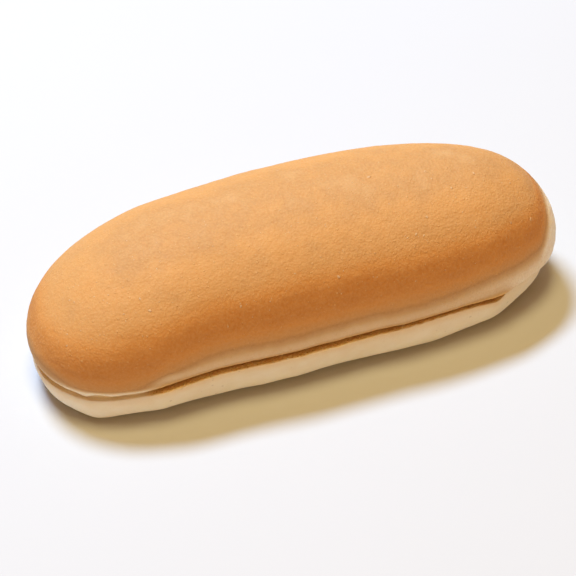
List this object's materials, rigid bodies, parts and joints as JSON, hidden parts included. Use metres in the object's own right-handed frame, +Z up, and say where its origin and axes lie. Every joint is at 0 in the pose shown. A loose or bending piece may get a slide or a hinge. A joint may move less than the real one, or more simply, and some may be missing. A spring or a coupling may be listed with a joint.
{
  "type": "hoagie roll",
  "caption": "Long soft bread roll with a browned domed crust on a pale low base, sliced along one side for filling.",
  "frame": {"origin": "middle of the underside, on the floor", "axes": "+X along the roll, -Y towards the sliced side, +Z up"},
  "size_m": [0.165, 0.0616, 0.0507],
  "materials": {
    "golden_crust": "matte baked crust, pale at the base"
  },
  "bodies": {
    "root": {"hoagie_roll": "golden_crust"}
  },
  "joints": []
}
